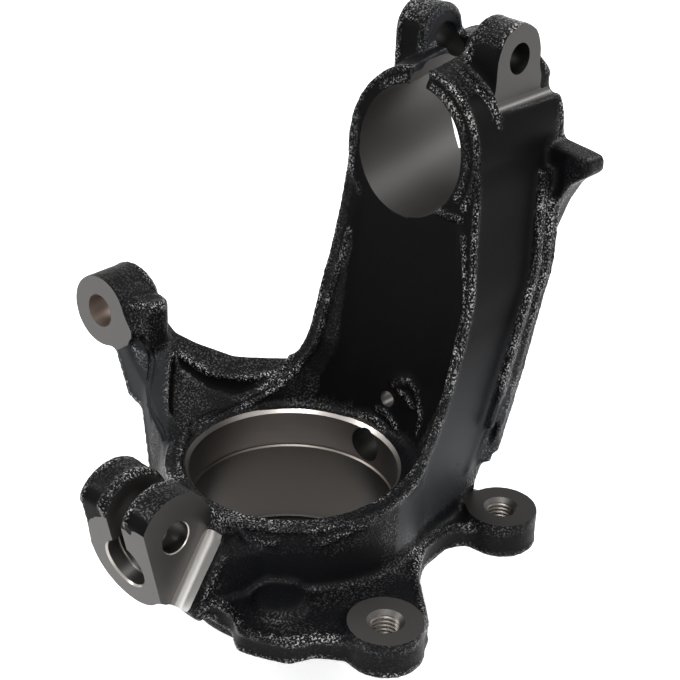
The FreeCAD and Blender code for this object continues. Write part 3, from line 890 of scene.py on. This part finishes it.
# Painted light: the entry above the seat is the same turned iron, coloured lighter.
bare_iron(entry_painted_light, (0.13, 0.117, 0.109), 0.38, (0.012, 0.012, 1), 0.5, 0.02)
bare_iron(reamed, (0.082, 0.078, 0.075), 0.5, (0.02, 1, 0.15), 0.6, 0.02)
bare_iron(milled, (0.1, 0.095, 0.091), 0.42, (1, 1, 1), 0.5, 0.02)
bare_iron(faced, (0.088, 0.084, 0.081), 0.46, (1, 1, 1), 0.4, 0.02)
# Painted shade: a darker copy of the milled iron, for the bolt seats, the ball joint's bolt hole and its
# lower face.
bare_iron(shade_milled, (0.064, 0.06, 0.058), 0.42, (1, 1, 1), 0.5, 0.02)
# Painted shade: a much darker copy of the milled iron, for the upper caliper face.
bare_iron(deep_shade_milled, (0.028, 0.026, 0.025), 0.45, (1, 1, 1), 0.5, 0.02)
# Painted highlight: a light tint for the small bevels, standing in for the light they catch.
bare_iron(bevel_highlight, (0.36, 0.335, 0.31), 0.3, (1, 1, 1), 0.5, 0.02)
# Painted highlight: the seat corner's tint, replaced below by a ramp from dark to near white.
bare_iron(seat_corner_highlight, (0.48, 0.46, 0.43), 0.36, (1, 1, 1), 0.7, 0.03)
# Painted shade: near black iron for the strut's bolt hole and the sensor's bore.
bare_iron(shaded, (0.022, 0.021, 0.02), 0.55, (1, 1, 1), 0.7, 0.03)
# The eye's bore: a brown rust tinge, and a tint lighter than the cut iron round it that paints the light
# falling into the hole.
bare_iron(rust_and_painted_light, (0.25, 0.205, 0.175), 0.5, (1, 1, 1), 1.2, 0.08)
# Painted highlight: a lighter tint for the thin lines at the bore's lead-in and the seat's foot, and for the
# threads.
bare_iron(cut_line_highlight, (0.15, 0.135, 0.122), 0.38, (1, 1, 1), 0.5, 0.02)

# Painted highlight: the round corner is coloured brighter the farther it stands off the bolt seat's face.
corner_nodes = seat_corner_highlight.node_tree.nodes
corner_links = seat_corner_highlight.node_tree.links
painted_highlight_node = corner_nodes.new("ShaderNodeAttribute")
painted_highlight_node.attribute_name = "painted_highlight"
painted_highlight_mix = corner_nodes.new("ShaderNodeMixRGB")
painted_highlight_mix.inputs["Color1"].default_value = (0.09, 0.085, 0.08, 1)
painted_highlight_mix.inputs["Color2"].default_value = (0.9, 0.88, 0.85, 1)
corner_links.new(painted_highlight_node.outputs["Fac"], painted_highlight_mix.inputs["Fac"])
corner_links.new(painted_highlight_mix.outputs["Color"], corner_nodes["Principled BSDF"].inputs["Base Color"])

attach(knuckle, "root")
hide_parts("knuckle_casting")

# Floor and light of a product photograph: white ground under the bearing ring, soft boxes.
ground_mesh = bpy.data.meshes.new("floor")
ground_mesh.from_pydata([(-6, -6, -0.024), (6, -6, -0.024), (6, 6, -0.024), (-6, 6, -0.024)], [],
                        [(0, 1, 2, 3)])
ground = bpy.data.objects.new("floor", ground_mesh)
bpy.context.scene.collection.objects.link(ground)
pale = bpy.data.materials.new("pale_floor")
pale.use_nodes = True
paper = pale.node_tree.nodes["Principled BSDF"]
paper.inputs["Base Color"].default_value = (0.9, 0.9, 0.9, 1)
paper.inputs["Roughness"].default_value = 0.9
paper.inputs["Specular IOR Level"].default_value = 0.0
paper.inputs["Emission Color"].default_value = (1, 1, 1, 1)


def white_where_seen(tree, low, high):
    """A strength that is high for the camera and for mirrored and transmitted rays."""
    path = tree.nodes.new("ShaderNodeLightPath")
    first = tree.nodes.new("ShaderNodeMath")
    first.operation = "MAXIMUM"
    second = tree.nodes.new("ShaderNodeMath")
    second.operation = "MAXIMUM"
    strength = tree.nodes.new("ShaderNodeMapRange")
    strength.inputs["To Min"].default_value = low
    strength.inputs["To Max"].default_value = high
    tree.links.new(path.outputs["Is Camera Ray"], first.inputs[0])
    tree.links.new(path.outputs["Is Glossy Ray"], first.inputs[1])
    tree.links.new(first.outputs[0], second.inputs[0])
    tree.links.new(path.outputs["Is Transmission Ray"], second.inputs[1])
    tree.links.new(second.outputs[0], strength.inputs["Value"])
    return strength.outputs["Result"]


pale.node_tree.links.new(white_where_seen(pale.node_tree, 0.0, 0.72), paper.inputs["Emission Strength"])
ground.data.materials.append(pale)


def soft_box(name, at, size, power, towards=(0, 0.02, 0.06)):
    """A flat lamp of one size in metres and one power in watts, turned towards the knuckle."""
    lamp = bpy.data.lights.new(name, "AREA")
    lamp.shape = "RECTANGLE"
    lamp.size = size[0]
    lamp.size_y = size[1]
    lamp.energy = power
    holder = bpy.data.objects.new(name, lamp)
    bpy.context.scene.collection.objects.link(holder)
    holder.location = at
    holder.rotation_mode = "QUATERNION"
    holder.rotation_quaternion = (Vector(towards) - Vector(at)).to_track_quat("-Z", "Y")


soft_box("overhead", (0.22, -0.28, 1.12), (0.34, 0.34), 8)
soft_box("left_front", (-0.75, -0.75, 0.75), (0.3, 0.3), 5.5)
soft_box("right_front", (1.0, -0.45, 0.35), (0.35, 0.5), 4.6)
soft_box("behind", (0.2, 1.0, 0.8), (0.4, 0.3), 5)

world = bpy.data.worlds.new("studio")
bpy.context.scene.world = world
world.use_nodes = True
sky = world.node_tree.nodes["Background"]
sky.inputs["Color"].default_value = (1, 1, 1, 1)
world.node_tree.links.new(white_where_seen(world.node_tree, 0.45, 1.0), sky.inputs["Strength"])

bpy.context.scene.view_settings.view_transform = "Standard"

# Camera at the photograph's place. Its focal length was fitted in pixels of the square picture.
FOCAL_PIXELS = 1600
PICTURE_PIXELS = 680
AZIMUTH = math.radians(41.48)
ELEVATION = math.radians(27.69)
ROLL = math.radians(2.38)
back = Vector((math.sin(AZIMUTH) * math.cos(ELEVATION), -math.cos(AZIMUTH) * math.cos(ELEVATION),
               math.sin(ELEVATION)))
level = Vector((math.cos(AZIMUTH), math.sin(AZIMUTH), 0))
upright = back.cross(level)
right = level * math.cos(ROLL) + upright * math.sin(ROLL)
above = upright * math.cos(ROLL) - level * math.sin(ROLL)
camera_data = bpy.data.cameras.new("camera")
camera_data.sensor_width = 36
camera_data.lens = 36 * FOCAL_PIXELS / PICTURE_PIXELS
camera_data.clip_start = 0.01
camera = bpy.data.objects.new("camera", camera_data)
bpy.context.scene.collection.objects.link(camera)
camera.rotation_mode = "QUATERNION"
camera.rotation_quaternion = Matrix((right, above, back)).transposed().to_quaternion()
camera.location = Vector((374.4, -398.4, 379.1)) * MM
bpy.context.scene.camera = camera
